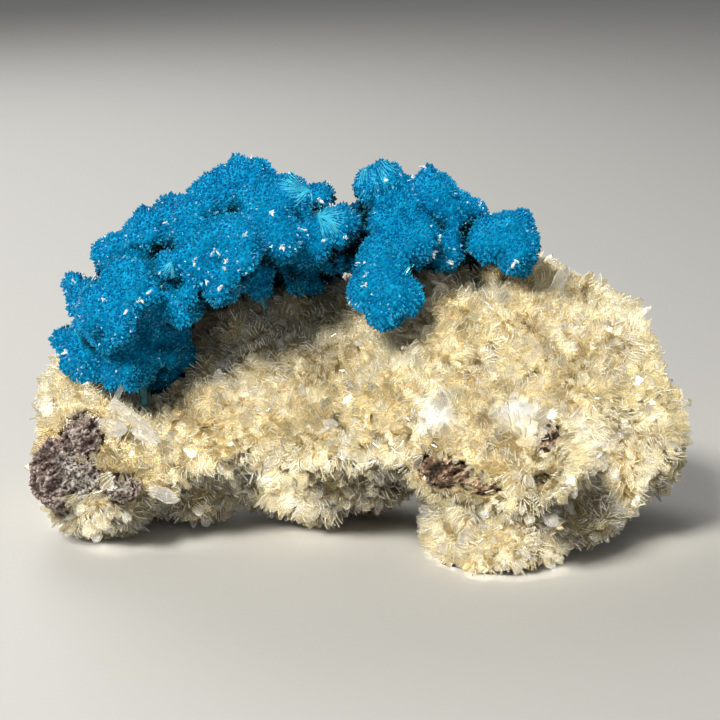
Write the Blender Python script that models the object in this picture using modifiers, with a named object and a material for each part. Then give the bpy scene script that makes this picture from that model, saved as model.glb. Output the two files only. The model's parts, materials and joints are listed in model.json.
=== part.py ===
"""A cavansite specimen: blue rosettes arched over a druse of stilbite blades that grew on basalt.

Metres, +Z up. The show side faces -Y, and the origin is on the surface that the specimen
rests on, under the middle of its footprint. The tables are in millimetres.
"""

import math
import random

import bmesh
import bpy
from mathutils import Matrix, Vector, noise
from mathutils.bvhtree import BVHTree

MM = 0.001
GAP = 0.35
# A deep crease swells less than the rest of its piece, so a second cut keeps this much there.
LEAST_GAP = 0.1
SEED = 7
# How often, and how far, a rough skin is eased where its lumps join.
EASE_ROUNDS = 3
EASE_SHARE = 0.5

# Stilbite: each lump is a ball of grown-together sheaves, given as its centre and its half sizes.
STILBITE_LUMPS = {
    "boulder_top": ((29.5, 2, 22.5), (16, 17, 14.5)),
    "boulder_right": ((40, 1, 14), (9, 14, 11)),
    "boulder_front": ((20.5, -10, 16), (14.5, 14, 10.5)),
    "boulder_left": ((5.5, -7, 20), (8, 12, 9)),
    "saddle": ((1, 7, 28), (7.5, 10, 8)),
    "boulder_shoulder": ((14, 3, 29.5), (9.5, 15, 9.5)),
    "boulder_crest": ((24, 4, 33.5), (10, 13, 6.5)),
    "boulder_back": ((23, 11, 20), (17, 12.5, 13)),
    "right_foot": ((20.5, -11, 3), (11, 12, 7.5)),
    "lower_right": ((31, -6, 6), (9, 12, 5)),
    "back_foot": ((26, 12, 4), (9, 7, 7)),
    "middle_dome": ((-11, 6, 23), (13.5, 14, 11)),
    "middle_sheaf": ((-6.5, -2, 16), (11, 12, 8.5)),
    "middle_left": ((-21, 2, 16), (11, 13, 9.5)),
    "middle_back": ((-14, 12, 20), (17, 9, 13)),
    "neck": ((-26, -2, 14.5), (7.5, 11, 7.5)),
    "belly": ((-5.5, 1.5, 7.8), (16, 12, 6.5)),
    "left_foot": ((-38.5, -2, 9.9), (10.5, 12, 11)),
    "left_foot_crown": ((-42, 0, 18), (6.5, 10, 8)),
    "left_foot_back": ((-34, 6, 12), (11, 9, 11)),
    "small_foot": ((-24, -1.5, 6), (5.5, 7, 5.4)),
}
STILBITE_GRID = 1.1
STILBITE_FACETS = 1090
STILBITE_POINT = (0.8, 1.8)
# The druse stands in round heads: how far apart, how high, and where between them it isn't raised.
HUMMOCK = (7.0, 1.6)
HUMMOCK_FOOT = 0.45
# A crystal's point: how far off the middle of its facet it may lie, and the share of the room
# in front of it that it may take.
OFF_CENTRE = (0.15, 1.0)
MOST_OF_THE_ROOM = 0.3
OPEN_ROOM = 1.0
OFF_THE_FACET = 0.05

# Larger stilbite blades: the foot of the blade, the way it points, and its length, width and thickness.
BLADES = [
    ((-34.5, -8.5, 20), (0.75, -0.45, -0.45), (7.0, 3.0, 0.9)),
    ((-37, -9, 18.5), (0.7, -0.6, 0.1), (5.5, 2.6, 0.9)),
    ((-30, -11, 9), (0.8, -0.5, -0.1), (5.0, 2.2, 0.8)),
    ((44.5, -1, 19), (1.0, -0.1, 0.1), (5.5, 2.0, 0.8)),
    ((35, -12, 7.5), (0.9, -0.4, -0.1), (5.0, 2.0, 0.8)),
    ((29, -2, 38), (0.4, -0.2, 1.0), (4.0, 2.0, 0.8)),
    ((33, 0, 36), (0.6, 0.0, 1.0), (4.0, 2.0, 0.8)),
    ((40, 2, 30), (0.9, -0.3, 0.8), (4.5, 2.2, 0.8)),
    ((12, -2, 36.5), (-0.1, -0.7, 1.0), (4.5, 2.4, 0.8)),
    ((-46, -4, 19), (-1.0, -0.4, 0.6), (4.0, 2.2, 0.8)),
    ((15, -20, 6), (-0.5, -1.0, -0.2), (4.0, 2.0, 0.8)),
    ((27, -19, 8.5), (0.3, -1.0, -0.2), (4.5, 2.2, 0.8)),
    ((-4, -11.5, 20.5), (0.1, -0.9, 0.6), (4.5, 2.2, 0.8)),
    ((30, 20, 24), (0.3, 1.0, 0.4), (4.5, 2.2, 0.8)),
    ((-12, 18.5, 27), (-0.2, 1.0, 0.5), (4.5, 2.2, 0.8)),
    ((12, 19, 16), (-0.3, 1.0, 0.1), (4.5, 2.2, 0.8)),
]

# Cavansite: each rosette is a ball of needles, given as its centre and its radius.
ARCH_ROSETTES = [
    ((-40, -4, 28.5), 4.7), ((-34, -6, 28), 4.8), ((-30.5, 0, 24), 3.4), ((-44, -3, 30), 1.8),
    ((-39.5, -3, 36), 3.4), ((-36, -8, 35), 5.1), ((-42.3, -1, 38), 1.7), ((-35, -1, 42), 4.2),
    ((-32, -7, 39), 5.2), ((-30.8, -2, 44.7), 4.6), ((-26.5, -7, 37.5), 3.8), ((-27.3, -1, 47), 4.1),
    ((-24, -3, 47.2), 5.1), ((-23, -8, 43), 4.1), ((-21.5, 0, 50.5), 3.6), ((-17, 1, 52), 4.6),
    ((-14, -2, 49.7), 4.9), ((-17.5, -8, 46.5), 4.0), ((-20, -9, 40), 2.8), ((-16, -5, 41), 3.1),
    ((-11, 0, 50), 4.1), ((-12, -5, 46.5), 3.8), ((-7.5, -2, 45.3), 3.8), ((-6, 1, 50.5), 2.3),
    ((-9, 3, 40.5), 3.0), ((-7.5, 4, 37), 2.2), ((-2.8, -3, 47.2), 3.2), ((-29.5, -1, 30), 4.4),
    ((-27.8, 1, 25.5), 3.2), ((-31.5, -3, 33.5), 4.6),
]
CROWN_ROSETTES = [
    ((3.2, 1, 52), 3.9), ((4.4, -3, 47.5), 3.5), ((7, -1, 49.5), 3.6), ((10.5, 1, 50.5), 4.3),
    ((13.8, 1, 48), 4.0), ((16.5, 2, 48), 2.3), ((8, -5, 45.5), 3.6), ((12.3, -3, 43.5), 3.0),
    ((3.5, -7, 43), 3.7), ((1.2, -7, 38.5), 3.2), ((5.4, -9, 38.5), 3.4), ((3.5, -8, 35.5), 2.6),
    ((1.2, -2, 41.5), 2.5), ((6, 3, 44), 5.5),
]
BALL_ROSETTES = [((18.8, -4, 45.5), 3.2), ((22, -3, 45.7), 4.0), ((22.6, -4.5, 43.3), 3.0)]
# The band of rosettes behind the arch's show side follows this line, from the left foot to the right end.
ARCH_SPINE = [(-37.5, 3, 27), (-34, 4, 36), (-26, 5, 42), (-16, 6, 45), (-6, 5, 43.5)]
CROWN_SPINE = [(4, 5, 44.5), (10, 6, 45), (15, 6, 43)]
SPINE_STEP = 5.5
SPINE_ROWS = ((0.0, 0.0, 5.2), (6.0, -3.0, 4.7), (8.5, -9.0, 4.5))
SPINE_SCATTER = 1.0
SPINE_SMALLEST = 0.85
# Open sprays of longer needles: where each fans out from, the way its middle needle points, and its radius.
SPRAYS = [
    ((-11.5, -3, 48.5), (-0.5, -0.7, 0.5), 7.5),
    ((-5.5, -3, 46), (0.7, -0.6, 0.1), 7.0),
    ((3, 0.5, 51), (-0.2, -0.3, 1.0), 6.0),
]
SPRAY_NEEDLES = 5
SPRAY_SPREAD = 0.75
SPRAY_NEEDLE_RADIUS = 0.7
SPRAY_TURN = 0.4
SPRAY_SHORTEST = 0.85
CAVANSITE_GRID = 0.9
ARCH_FACETS = 520
CROWN_FACETS = 250
BALL_FACETS = 80
NEEDLE_POINT = (0.6, 1.5)

# Basalt: the rock where the druse has broken away, as lumps with their half sizes.
BASALT_LEFT = [
    ((-44.2, -7.5, 10.5), (5.6, 6.5, 6.3)), ((-40.5, -9.3, 17), (3.2, 3.4, 3.6)),
    ((-39.5, -11.5, 11), (3.4, 3.2, 3.4)), ((-35, -12.9, 10), (3.3, 2.6, 2.0)),
]
BASALT_RIGHT = [((12.6, -17.5, 15.8), (4.6, 4, 3.2)), ((17.6, -18.8, 14.9), (4.2, 4, 2.9))]
BASALT_UPPER = [
    ((25.5, -18.3, 20.5), (3.2, 3.2, 1.9)), ((26.5, -17.6, 18), (2.2, 2.6, 2.6)),
    ((25, -19.8, 15.5), (2.4, 3.2, 1.5)),
]
BASALT_GRID = 0.7
BASALT_FACETS = 90
BASALT_POINT = (-0.2, 0.6)
# Where the druse stands round a hollow that ends on the rock.
WINDOWS = [
    ((13.2, -22.5, 15.7), (3.4, 4.5, 2.3)), ((17.6, -23.5, 14.7), (3.4, 4.5, 1.8)),
    ((24.1, -23.3, 21.1), (1.6, 3.6, 1.1)), ((26, -23.3, 20), (1.9, 3.6, 1.1)),
    ((24.8, -24.5, 15.5), (2.2, 3.4, 0.9)),
]
# The room under the rest plane that is cut away, in metres.
ROOM_BELOW = (0.3, 0.3, 0.1)


def clear_scene():
    for thing in list(bpy.data.objects):
        bpy.data.objects.remove(thing, do_unlink=True)


def new_collection(name):
    made = bpy.data.collections.new(name)
    bpy.context.scene.collection.children.link(made)
    return made


def new_material(name, colour, roughness):
    made = bpy.data.materials.new(name)
    made.use_nodes = True
    shader = made.node_tree.nodes["Principled BSDF"]
    shader.inputs["Base Color"].default_value = (*colour, 1.0)
    shader.inputs["Roughness"].default_value = roughness
    shader.inputs["Metallic"].default_value = 0.0
    made.diffuse_color = (*colour, 1.0)
    return made


def new_object(name, bm, collection, material=None):
    mesh = bpy.data.meshes.new(name)
    bm.to_mesh(mesh)
    bm.free()
    made = bpy.data.objects.new(name, mesh)
    collection.objects.link(made)
    if material:
        mesh.materials.append(material)
    return made


def add_ball(bm, centre, radii):
    """An egg-shaped lump, from millimetres."""
    place = Matrix.Translation(Vector(centre) * MM) @ Matrix.Diagonal((*(r * MM for r in radii), 1.0))
    bmesh.ops.create_icosphere(bm, subdivisions=3, radius=1.0, matrix=place)


def grown_together(name, lumps, grid, facets, hummock=None):
    """One closed skin over all the lumps, as a bmesh of about the given number of flat facets."""
    bm = bmesh.new()
    for centre, radii in lumps:
        add_ball(bm, centre, radii)
    rough = new_object(name, bm, cutters)
    skin = rough.modifiers.new("one skin", "REMESH")
    skin.mode = "VOXEL"
    skin.voxel_size = grid * MM
    soften = rough.modifiers.new("soften the joins", "SMOOTH")
    soften.factor = EASE_SHARE
    soften.iterations = EASE_ROUNDS
    bm = evaluated(rough)
    if hummock:
        raise_hummocks(bm, *hummock)
    rough.modifiers.clear()
    bm.to_mesh(rough.data)
    coarse = rough.modifiers.new("facets", "DECIMATE")
    coarse.ratio = facets / (2 * len(rough.data.vertices))
    bm.free()
    bm = evaluated(rough)
    bmesh.ops.triangulate(bm, faces=bm.faces)
    bpy.data.objects.remove(rough, do_unlink=True)
    keep_outer_skin(bm)
    return bm


def keep_outer_skin(bm):
    """Deletes every island of faces but the largest, such as the skin of a bubble between the lumps."""
    left = set(bm.verts)
    islands = []
    while left:
        island = {left.pop()}
        edge_of_it = list(island)
        while edge_of_it:
            vert = edge_of_it.pop()
            for other in (edge.other_vert(vert) for edge in vert.link_edges):
                if other in left:
                    left.discard(other)
                    island.add(other)
                    edge_of_it.append(other)
        islands.append(island)
    largest = max(islands, key=len)
    bmesh.ops.delete(bm, geom=[vert for vert in bm.verts if vert not in largest], context="VERTS")


def evaluated(thing):
    """The object's mesh with its modifiers applied, as a new bmesh."""
    bpy.context.view_layer.update()
    graph = bpy.context.evaluated_depsgraph_get()
    bm = bmesh.new()
    bm.from_object(thing, graph)
    return bm


def raise_hummocks(bm, spacing, height):
    """Swells the skin into round heads, one for each cell of a scattered pattern."""
    bm.normal_update()
    moves = []
    for vert in bm.verts:
        nearest = noise.voronoi(vert.co / (spacing * MM))[0][0]
        moves.append(vert.normal * (height * MM * (HUMMOCK_FOOT - nearest)))
    for vert, move in zip(bm.verts, moves):
        vert.co += move


def crystal_points(bm, lowest, highest, buried, rng):
    """Raises an off-centre point on every facet that shows, so that the skin becomes flat-faced crystals."""
    bm.normal_update()
    bm.faces.ensure_lookup_table()
    tree = BVHTree.FromBMesh(bm)
    shown = []
    heights = []
    for face in bm.faces:
        middle = face.calc_center_median()
        if any(inside(other, middle) for other in buried):
            continue
        start = middle + face.normal * OFF_THE_FACET * MM
        room = tree.ray_cast(start, face.normal)[3] or OPEN_ROOM
        height = min(rng.uniform(lowest, highest) * MM, MOST_OF_THE_ROOM * room)
        shown.append(face)
        heights.append((face.normal.copy(), height))
    made = bmesh.ops.poke(bm, faces=shown)["verts"]
    for vert, (normal, height) in zip(made, heights):
        around = [edge.other_vert(vert).co for edge in vert.link_edges]
        shares = [rng.uniform(*OFF_CENTRE) for _ in around]
        vert.co = sum((co * share for co, share in zip(around, shares)), Vector()) / sum(shares)
        vert.co += normal * height


def inside(tree, point):
    """True where the nearest skin of the tree faces away from the point."""
    near, normal, _, _ = tree.find_nearest(point)
    return (point - near).dot(normal) < 0


def add_blade(bm, foot, way, size):
    """A six-sided plate with a pointed tip, half of it buried in what it grows from."""
    length, width, thickness = (value * MM for value in size)
    turn = Vector(way).to_track_quat("X", "Z").to_matrix().to_4x4()
    place = Matrix.Translation(Vector(foot) * MM) @ turn
    place = place @ Matrix.Diagonal((length, width / 2, thickness, 1.0))
    bmesh.ops.create_cone(
        bm, cap_ends=True, segments=6, radius1=1.0, radius2=1.0, depth=1.0, matrix=place
    )


def along(line, step):
    """Points every step along a bent line, in millimetres."""
    points = [Vector(point) for point in line]
    found = [points[0]]
    for start, end in zip(points, points[1:]):
        count = max(1, round((end - start).length / step))
        found += [start.lerp(end, (i + 1) / count) for i in range(count)]
    return found


def band_behind(line, rows, rng):
    """Rosettes in rows behind a line of the arch, each row further back and lower."""
    balls = []
    for back, down, radius in rows:
        for point in along(line, SPINE_STEP):
            aside, behind = (rng.uniform(-SPINE_SCATTER, SPINE_SCATTER) for _ in range(2))
            centre = point + Vector((aside, back + behind, down))
            balls.append((centre, radius * rng.uniform(SPINE_SMALLEST, 1.0)))
    return balls


def balls_of(rosettes):
    return [(centre, (radius, radius, radius)) for centre, radius in rosettes]


def boolean(thing, operation, other):
    cut = thing.modifiers.new(f"{operation.lower()} {other.name}", "BOOLEAN")
    cut.operation = operation
    cut.object = other
    # The facets of one crust may touch each other, and only this solver keeps such a skin closed.
    cut.solver = "MANIFOLD"


def cutter_from(thing, grow):
    """A hidden copy of a piece, swollen by the gap that neighbours keep."""
    copy = new_object(f"{thing.name}_room_{grow}", evaluated(thing), cutters)
    swell = copy.modifiers.new("gap", "DISPLACE")
    swell.strength = grow * MM
    swell.mid_level = 0.0
    hide(copy)
    return copy


def hide(thing):
    thing.hide_render = True
    thing.display_type = "WIRE"


def add_spray(bm, root, way, radius, rng):
    """A fan of pointed needles that spread from one root."""
    middle = Vector(way).normalized()
    side = middle.orthogonal().normalized()
    for index in range(SPRAY_NEEDLES):
        lean = 0.0 if index == 0 else SPRAY_SPREAD
        angle = math.tau * index / (SPRAY_NEEDLES - 1) + rng.uniform(-SPRAY_TURN, SPRAY_TURN)
        needle = middle + lean * (Matrix.Rotation(angle, 3, middle) @ side)
        turn = needle.to_track_quat("Z", "X").to_matrix().to_4x4()
        length = radius * MM * rng.uniform(SPRAY_SHORTEST, 1.0)
        place = Matrix.Translation(Vector(root) * MM) @ turn @ Matrix.Translation((0, 0, length / 2))
        bmesh.ops.create_cone(
            bm, cap_ends=True, segments=4, radius1=SPRAY_NEEDLE_RADIUS * MM, radius2=0.0,
            depth=length, matrix=place,
        )


def make_cavansite(rng):
    """The skins of the three blue growths, before their needles are raised."""
    arch = ARCH_ROSETTES + band_behind(ARCH_SPINE, SPINE_ROWS, rng)
    crown = CROWN_ROSETTES + band_behind(CROWN_SPINE, SPINE_ROWS, rng)
    return {
        "cavansite_arch": grown_together("arch", balls_of(arch), CAVANSITE_GRID, ARCH_FACETS),
        "cavansite_crown": grown_together("crown", balls_of(crown), CAVANSITE_GRID, CROWN_FACETS),
        "cavansite_ball": grown_together("ball", balls_of(BALL_ROSETTES), CAVANSITE_GRID, BALL_FACETS),
    }


def make_basalt(druse, rng):
    """The pieces of rock, angular and rough where the druse has left them bare."""
    made = []
    for name, lumps in (
        ("basalt_left", BASALT_LEFT),
        ("basalt_right", BASALT_RIGHT),
        ("basalt_upper", BASALT_UPPER),
    ):
        bm = grown_together(name, lumps, BASALT_GRID, BASALT_FACETS)
        crystal_points(bm, *BASALT_POINT, [druse], rng)
        made.append(new_object(name, bm, specimen, brown))
    return made


def settle(thing):
    """Keeps the result of the piece's Booleans, without the crumbs that a cut leaves loose."""
    bm = evaluated(thing)
    thing.modifiers.clear()
    keep_outer_skin(bm)
    bmesh.ops.triangulate(bm, faces=bm.faces)
    bm.to_mesh(thing.data)
    bm.free()


def helper(name, fill):
    """A hidden shape that a Boolean joins or cuts, made by the given function."""
    bm = bmesh.new()
    fill(bm)
    made = new_object(name, bm, cutters)
    hide(made)
    return made


def fill_blades(bm):
    for foot, way, size in BLADES:
        add_blade(bm, foot, way, size)


def fill_windows(bm):
    for centre, radii in WINDOWS:
        add_ball(bm, centre, radii)


def fill_below(bm):
    """Everything under the surface that the specimen rests on."""
    place = Matrix.Translation((0, 0, -ROOM_BELOW[2] / 2)) @ Matrix.Diagonal((*ROOM_BELOW, 1.0))
    bmesh.ops.create_cube(bm, size=1.0, matrix=place)


def build():
    rng = random.Random(SEED)
    blue_skins = make_cavansite(rng)
    cream_skin = grown_together(
        "stilbite", STILBITE_LUMPS.values(), STILBITE_GRID, STILBITE_FACETS, HUMMOCK
    )
    cream_tree = BVHTree.FromBMesh(cream_skin)
    blue_trees = [BVHTree.FromBMesh(bm) for bm in blue_skins.values()]

    crystal_points(cream_skin, *STILBITE_POINT, blue_trees, rng)
    stilbite = new_object("stilbite_matrix", cream_skin, specimen, cream)
    blues = []
    for name, bm in blue_skins.items():
        crystal_points(bm, *NEEDLE_POINT, [cream_tree], rng)
        blues.append(new_object(name, bm, specimen, azure))
    arch, crown, ball = blues
    for owner, sprays in ((arch, SPRAYS[:2]), (crown, SPRAYS[2:])):
        for index, spray in enumerate(sprays):
            fan = helper(f"{owner.name}_spray_{index}", lambda bm: add_spray(bm, *spray, rng))
            boolean(owner, "UNION", fan)

    boolean(crown, "DIFFERENCE", cutter_from(arch, GAP))
    boolean(ball, "DIFFERENCE", cutter_from(crown, GAP))
    boolean(stilbite, "UNION", helper("larger_blades", fill_blades))
    boolean(stilbite, "DIFFERENCE", helper("below_the_rest_plane", fill_below))
    boolean(stilbite, "DIFFERENCE", helper("windows_on_the_rock", fill_windows))
    for piece in blues + make_basalt(cream_tree, rng):
        for grow in (GAP, LEAST_GAP):
            boolean(stilbite, "DIFFERENCE", cutter_from(piece, grow))
    for piece in (stilbite, crown, ball):
        settle(piece)


clear_scene()
specimen = new_collection("cavansite_specimen")
cutters = new_collection("cutters")
cream = new_material("stilbite", (0.78, 0.68, 0.50), 0.35)
azure = new_material("cavansite", (0.0, 0.24, 0.60), 0.4)
brown = new_material("basalt", (0.13, 0.08, 0.07), 0.85)
build()
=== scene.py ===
# %% [markdown]
# # A cavansite specimen
# A hand specimen in three minerals. Thousands of thin stilbite blades make the cream druse, blue
# cavansite rosettes arch over it, and dark basalt, which both of them grew on, shows where the
# druse has broken away. The solids give every lump its place and size. This script grows the
# crystals on them, because a crystal crust is read by its edges and glints, and no flat skin with
# a bump pattern gives those from all sides.

import json
import math
import random

import bmesh
import bpy
from mathutils import Matrix, Vector, noise
from mathutils.bvhtree import BVHTree

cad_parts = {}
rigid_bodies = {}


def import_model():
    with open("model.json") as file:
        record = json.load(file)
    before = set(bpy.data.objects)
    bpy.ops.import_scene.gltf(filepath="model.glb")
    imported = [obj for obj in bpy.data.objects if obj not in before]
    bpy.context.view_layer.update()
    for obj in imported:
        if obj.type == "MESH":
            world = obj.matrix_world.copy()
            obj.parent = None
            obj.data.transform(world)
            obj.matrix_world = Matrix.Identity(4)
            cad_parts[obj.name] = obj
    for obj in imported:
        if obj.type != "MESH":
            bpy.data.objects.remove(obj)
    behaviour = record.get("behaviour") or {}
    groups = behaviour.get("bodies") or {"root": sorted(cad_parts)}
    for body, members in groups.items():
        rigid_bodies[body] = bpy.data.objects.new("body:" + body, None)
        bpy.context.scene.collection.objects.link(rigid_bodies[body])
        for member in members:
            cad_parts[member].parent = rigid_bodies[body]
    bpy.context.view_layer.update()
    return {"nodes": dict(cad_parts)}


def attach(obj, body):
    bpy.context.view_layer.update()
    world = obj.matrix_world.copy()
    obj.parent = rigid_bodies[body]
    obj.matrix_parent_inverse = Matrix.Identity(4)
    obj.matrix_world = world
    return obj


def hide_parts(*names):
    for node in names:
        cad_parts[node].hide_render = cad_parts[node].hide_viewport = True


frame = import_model()
MM = 0.001
SEED = 7
print("solids:", sorted(frame["nodes"]))

# %% [markdown]
# ## The camera
# The specimen is seen level with its long side, from a little above. The places of its feet and of
# the arch's top in the picture fit a long lens a quarter of a metre away. The camera comes first,
# because a few crystals are placed where the picture shows them: a ray through their pixel finds
# the skin that they stand on.

# %% The camera
PICTURE = 720
LENS_MM = 85.0
SENSOR_MM = 36.0
NEAREST = 10 * MM
CAMERA_AWAY = 257 * MM
CAMERA_LIFT = math.radians(18)
AIM = Vector((0, 0, 25.8 * MM))


def make_camera():
    lens = bpy.data.cameras.new("camera")
    lens.lens = LENS_MM
    lens.sensor_width = SENSOR_MM
    lens.clip_start = NEAREST
    made = bpy.data.objects.new("camera", lens)
    made.location = AIM + CAMERA_AWAY * Vector((0, -math.cos(CAMERA_LIFT), math.sin(CAMERA_LIFT)))
    made.rotation_euler = (math.pi / 2 - CAMERA_LIFT, 0, 0)
    bpy.context.scene.collection.objects.link(made)
    bpy.context.scene.camera = made
    bpy.context.view_layer.update()
    return made


def ray_through(pixel):
    """Where the camera is, and the way from it through a pixel of the picture."""
    focal = LENS_MM / SENSOR_MM * PICTURE
    way = Vector((pixel[0] - PICTURE / 2, PICTURE / 2 - pixel[1], -focal))
    return camera.location.copy(), (camera.matrix_world.to_3x3() @ way).normalized()


camera = make_camera()
print("camera at", [round(value, 4) for value in camera.location])

# %% [markdown]
# ## Colours and nodes
# Colours are written as the sRGB hex values that a colour picker shows, and one function turns
# them to the linear light that shaders work in. One more adds any node, with its settings and its
# links, to a material or to a Geometry Nodes tree alike. The finishes below share three recipes: a
# new material that reads values kept on the mesh, patches that drift over a piece, and colours
# laid over one another.

# %% Colours and nodes


def tone(code):
    """An sRGB hex colour as linear red, green, blue and alpha."""
    parts = [int(code[start:start + 2], 16) / 255 for start in (1, 3, 5)]
    return (*(c / 12.92 if c <= 0.04045 else ((c + 0.055) / 1.055) ** 2.4 for c in parts), 1.0)


def add(tree, kind, inputs=None, **settings):
    """A new node. An input that is given another node's output is linked to it."""
    made = tree.nodes.new(kind)
    for name, value in settings.items():
        setattr(made, name, value)
    for name, value in (inputs or {}).items():
        if isinstance(value, bpy.types.NodeSocket):
            tree.links.new(value, made.inputs[name])
        else:
            made.inputs[name].default_value = value
    return made


def new_finish(name, *reads):
    """A new material, its tree and Principled shader, and the values that it reads from the mesh."""
    made = bpy.data.materials.new(name)
    made.use_nodes = True
    tree = made.node_tree
    values = [add(tree, "ShaderNodeAttribute", attribute_name=read).outputs["Fac"] for read in reads]
    return made, tree, tree.nodes["Principled BSDF"], values


def patches(tree, wide, detail, low=0.0, high=1.0):
    """A share that drifts over a piece in patches of about this width, from the noise's low to high."""
    place = add(tree, "ShaderNodeTexCoord").outputs["Object"]
    swells = add(tree, "ShaderNodeTexNoise", {"Vector": place, "Scale": 1 / wide, "Detail": detail})
    return add(tree, "ShaderNodeMapRange", {0: swells.outputs["Fac"], 1: low, 2: high}).outputs[0]


def laid_over(tree, colour, *layers):
    """The colour with others laid over it, each as far as its own share says."""
    for share, layer in layers:
        mix = add(tree, "ShaderNodeMix", {0: share, 6: colour, 7: layer}, data_type="RGBA")
        colour = mix.outputs[2]
    return colour


print("cream, as linear light:", [round(value, 3) for value in tone("#E9DBB2")])

# %% [markdown]
# ## Stilbite
# Stilbite is a zeolite that grows as flat blades, side by side in sheaves. A single blade is clear,
# with glassy faces. Crowded together they turn cream, because light is bent at every face, and
# deep between them it comes back honey coloured. So the faces drift between two creams in patches
# of about a centimetre, the narrow sides are paler, with some painted near white as glints, the
# hollows are darkened by painted shade, and the colour turns rusty where iron has seeped in and
# white where the blades are split by fine cracks. Most of the light goes through, with stilbite's
# refractive index of 1.5. Subsurface scattering would look alike from afar, but it hides the faces
# that make a druse sparkle.

# %% The finish of the druse
STILBITE_IOR = 1.50
NOISE_MIDDLE = (0.35, 0.65)
FACE_CLEAR = 0.85
EDGE_CLEAR = 0.35
WHITE_CLEAR = 0.3


def druse_finish():
    """Stilbite blades, as grown: glassy faces that let most light through, pale edges with painted glints,
    and painted shade in hollows.
    """
    made, tree, shader, values = new_finish("stilbite_blades", "edge", "grain", "depth", "rust", "white")
    edge, grain, depth, rust, white = values
    face = laid_over(tree, tone("#F2E9CC"), (patches(tree, 9 * MM, 3.0, *NOISE_MIDDLE), tone("#FFFBEE")))
    # Narrow sides: a darker cream, and near white on some by chance, which is a painted glint.
    rim = laid_over(tree, tone("#D6CAA2"), (grain, tone("#FFFFFA")))
    # The hollows are darkened by painted shade; rust and white are the blades' own colours.
    colour = laid_over(
        tree, face, (edge, rim), (depth, tone("#CAB88A")), (rust, tone("#DCC892")), (white, tone("#FFFFFF"))
    )
    clear = add(tree, "ShaderNodeMapRange", {0: edge, 3: FACE_CLEAR, 4: EDGE_CLEAR}).outputs[0]
    milky = add(tree, "ShaderNodeMapRange", {0: white, 3: 1.0, 4: WHITE_CLEAR}).outputs[0]
    clear = add(tree, "ShaderNodeMath", {0: clear, 1: milky}, operation="MULTIPLY").outputs[0]
    tree.links.new(colour, shader.inputs["Base Color"])
    tree.links.new(clear, shader.inputs["Transmission Weight"])
    shader.inputs["IOR"].default_value = STILBITE_IOR
    shader.inputs["Roughness"].default_value = 0.1
    return made


def root_finish():
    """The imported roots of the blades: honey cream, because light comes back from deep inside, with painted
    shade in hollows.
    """
    made, tree, shader, (depth, rust, white) = new_finish("stilbite_roots", "depth", "rust", "white")
    pale = laid_over(tree, tone("#B09B68"), (patches(tree, 7 * MM, 5.0, *NOISE_MIDDLE), tone("#C9B88A")))
    fibres = patches(tree, 0.35 * MM, 3.0)
    streak = add(tree, "ShaderNodeMapRange", {0: fibres, 1: 0.35, 2: 0.6}).outputs[0]
    # The hollows are darkened by painted shade; rust and white are the roots' own colours.
    colour = laid_over(
        tree, tone("#80693E"), (streak, pale), (depth, tone("#625030")), (rust, tone("#98803E")),
        (white, tone("#E4DDC8")),
    )
    tree.links.new(colour, shader.inputs["Base Color"])
    bump = add(tree, "ShaderNodeBump", {"Height": fibres, "Strength": 0.7, "Distance": 0.3 * MM})
    tree.links.new(bump.outputs["Normal"], shader.inputs["Normal"])
    shader.inputs["Roughness"].default_value = 0.45
    return made


def clear_blade_finish():
    """A single stilbite blade: colourless, with a faint milkiness from its cleavage."""
    made, tree, shader, _ = new_finish("stilbite_clear_blade")
    colour = laid_over(tree, tone("#F4F0E6"), (patches(tree, 1.2 * MM, 4.0), tone("#FFFFFF")))
    tree.links.new(colour, shader.inputs["Base Color"])
    shader.inputs["IOR"].default_value = STILBITE_IOR
    shader.inputs["Roughness"].default_value = 0.05
    shader.inputs["Transmission Weight"].default_value = 0.78
    return made


DRUSE = druse_finish()
ROOTS = root_finish()
CLEAR = clear_blade_finish()
print("made:", DRUSE.name, ROOTS.name, CLEAR.name)

# %% [markdown]
# ## Cavansite
# Cavansite is a calcium vanadium silicate, and its blue is its own, not a stain. The rosettes are
# balls of stout needles. Light that has crossed the thin tips is bright azure to cyan, and light
# from deep between the needles is navy, so the colour follows the needle from root to tip, partly
# its own and partly painted light, with a painted cyan glow on some tips, and painted shade darkens
# it where the skin lies in a hollow. The shine is kept low: thousands of glossy tips would lay a
# grey veil over the blue.

# %% The finish of the rosettes
CAVANSITE_IOR = 1.54
TIP_STARTS = 0.2
BRIGHT_FROM = 0.6
BRIGHTEST = 0.8


def rosette_finish():
    """Cavansite needles, as grown: vitreous, azure, cyan at the tips with a painted glow on some, painted
    shade in hollows.
    """
    made, tree, shader, (along, grain, depth) = new_finish("cavansite_needles", "along", "grain", "depth")
    body = laid_over(tree, tone("#0090C4"), (patches(tree, 6 * MM, 2.0, *NOISE_MIDDLE), tone("#00BEE8")))
    rise = add(tree, "ShaderNodeMapRange", {0: along, 1: TIP_STARTS}).outputs[0]
    # By chance some needles get a painted cyan glow at the tip, as if light crossed it.
    lit = add(tree, "ShaderNodeMapRange", {0: grain, 1: BRIGHT_FROM, 4: BRIGHTEST}).outputs[0]
    tips = add(tree, "ShaderNodeMath", {0: lit, 1: rise}, operation="MULTIPLY").outputs[0]
    # From root to tip the colour is partly the needle's own and partly painted light; painted shade darkens
    # the hollows.
    colour = laid_over(tree, tone("#0088B4"), (rise, body), (depth, tone("#001A2C")), (tips, tone("#4CD8F2")))
    tree.links.new(colour, shader.inputs["Base Color"])
    shader.inputs["IOR"].default_value = CAVANSITE_IOR
    shader.inputs["Roughness"].default_value = 0.25
    shader.inputs["Specular IOR Level"].default_value = 0.12
    shader.inputs["Transmission Weight"].default_value = 0.35
    return made


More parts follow.
